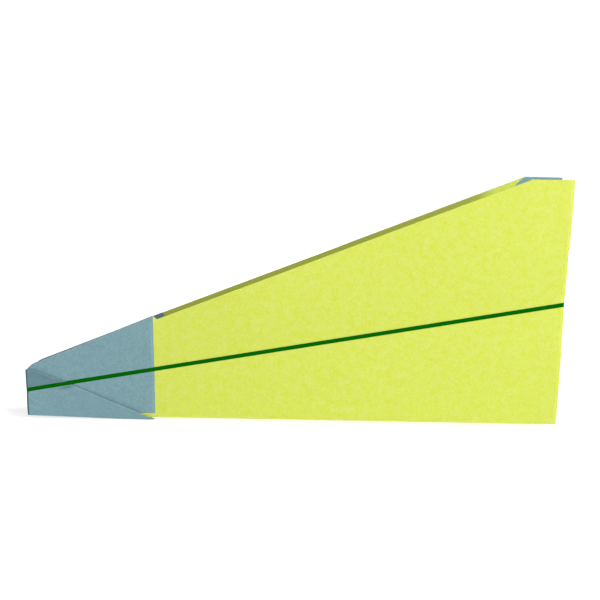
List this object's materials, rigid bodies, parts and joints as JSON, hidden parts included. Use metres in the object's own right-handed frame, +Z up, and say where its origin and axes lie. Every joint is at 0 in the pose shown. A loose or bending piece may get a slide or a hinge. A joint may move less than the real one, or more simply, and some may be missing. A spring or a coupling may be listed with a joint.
{
  "type": "paper airplane",
  "caption": "Folded paper airplane with a creased keel, wings that fold along slanted creases, and a nose tip turned back over the fuselage.",
  "frame": {"origin": "on the keel fold under the balance point, where the fuselage is pinched between finger and thumb", "axes": "+X along the keel towards the tail, +Y across towards the right half, +Z up from the keel towards the wing edges"},
  "size_m": [0.2297, 0.0499, 0.1058],
  "materials": {
    "yellow_paper": "matt uncoated copier paper, yellow-green dyed face",
    "blue_paper": "matt uncoated copier paper, grey-blue dyed face"
  },
  "bodies": {
    "right_fuselage": {"right_fuselage_inner_corner": "blue_paper", "right_fuselage_inner_flap": "yellow_paper", "right_fuselage_panel": "yellow_paper", "right_fuselage_corner_flap": "blue_paper", "right_fuselage_lock_corner": "yellow_paper", "right_fuselage_lock_panel": "blue_paper", "right_fuselage_lock_flap": "blue_paper", "right_fuselage_lock_cover": "blue_paper"},
    "left_fuselage": {"left_fuselage_inner_corner": "blue_paper", "left_fuselage_inner_flap": "yellow_paper", "left_fuselage_panel": "yellow_paper", "left_fuselage_corner_flap": "blue_paper", "left_fuselage_lock_corner": "yellow_paper", "left_fuselage_lock_panel": "blue_paper", "left_fuselage_lock_flap": "blue_paper", "left_fuselage_lock_cover": "blue_paper"},
    "left_wing": {"left_wing_inner_corner": "blue_paper", "left_wing_inner_flap": "yellow_paper", "left_wing_panel": "yellow_paper", "left_wing_corner_flap": "blue_paper", "left_wing_lock_corner": "yellow_paper", "left_wing_lock_panel": "blue_paper", "left_wing_lock_flap": "blue_paper", "left_wing_lock_cover": "blue_paper"},
    "right_wing": {"right_wing_inner_corner": "blue_paper", "right_wing_inner_flap": "yellow_paper", "right_wing_panel": "yellow_paper", "right_wing_corner_flap": "blue_paper", "right_wing_lock_corner": "yellow_paper", "right_wing_lock_panel": "blue_paper", "right_wing_lock_flap": "blue_paper", "right_wing_lock_cover": "blue_paper"}
  },
  "joints": [
    {"name": "keel_fold", "type": "hinge", "parent": "right_fuselage", "child": "left_fuselage", "pos_m": [0, 0, 0], "axis": [1, 0, 0], "range_deg": [-24, 156]},
    {"name": "left_wing_fold", "type": "hinge", "parent": "left_fuselage", "child": "left_wing", "pos_m": [-0.10212, -0.00317, 0.01072], "axis": [0.9824, -0.0389, 0.1828], "range_deg": [-4.5, 155.5]},
    {"name": "right_wing_fold", "type": "hinge", "parent": "right_fuselage", "child": "right_wing", "pos_m": [-0.10163, 0.00317, 0.01072], "axis": [-0.9827, -0.0385, -0.1813], "range_deg": [0, 160]}
  ]
}
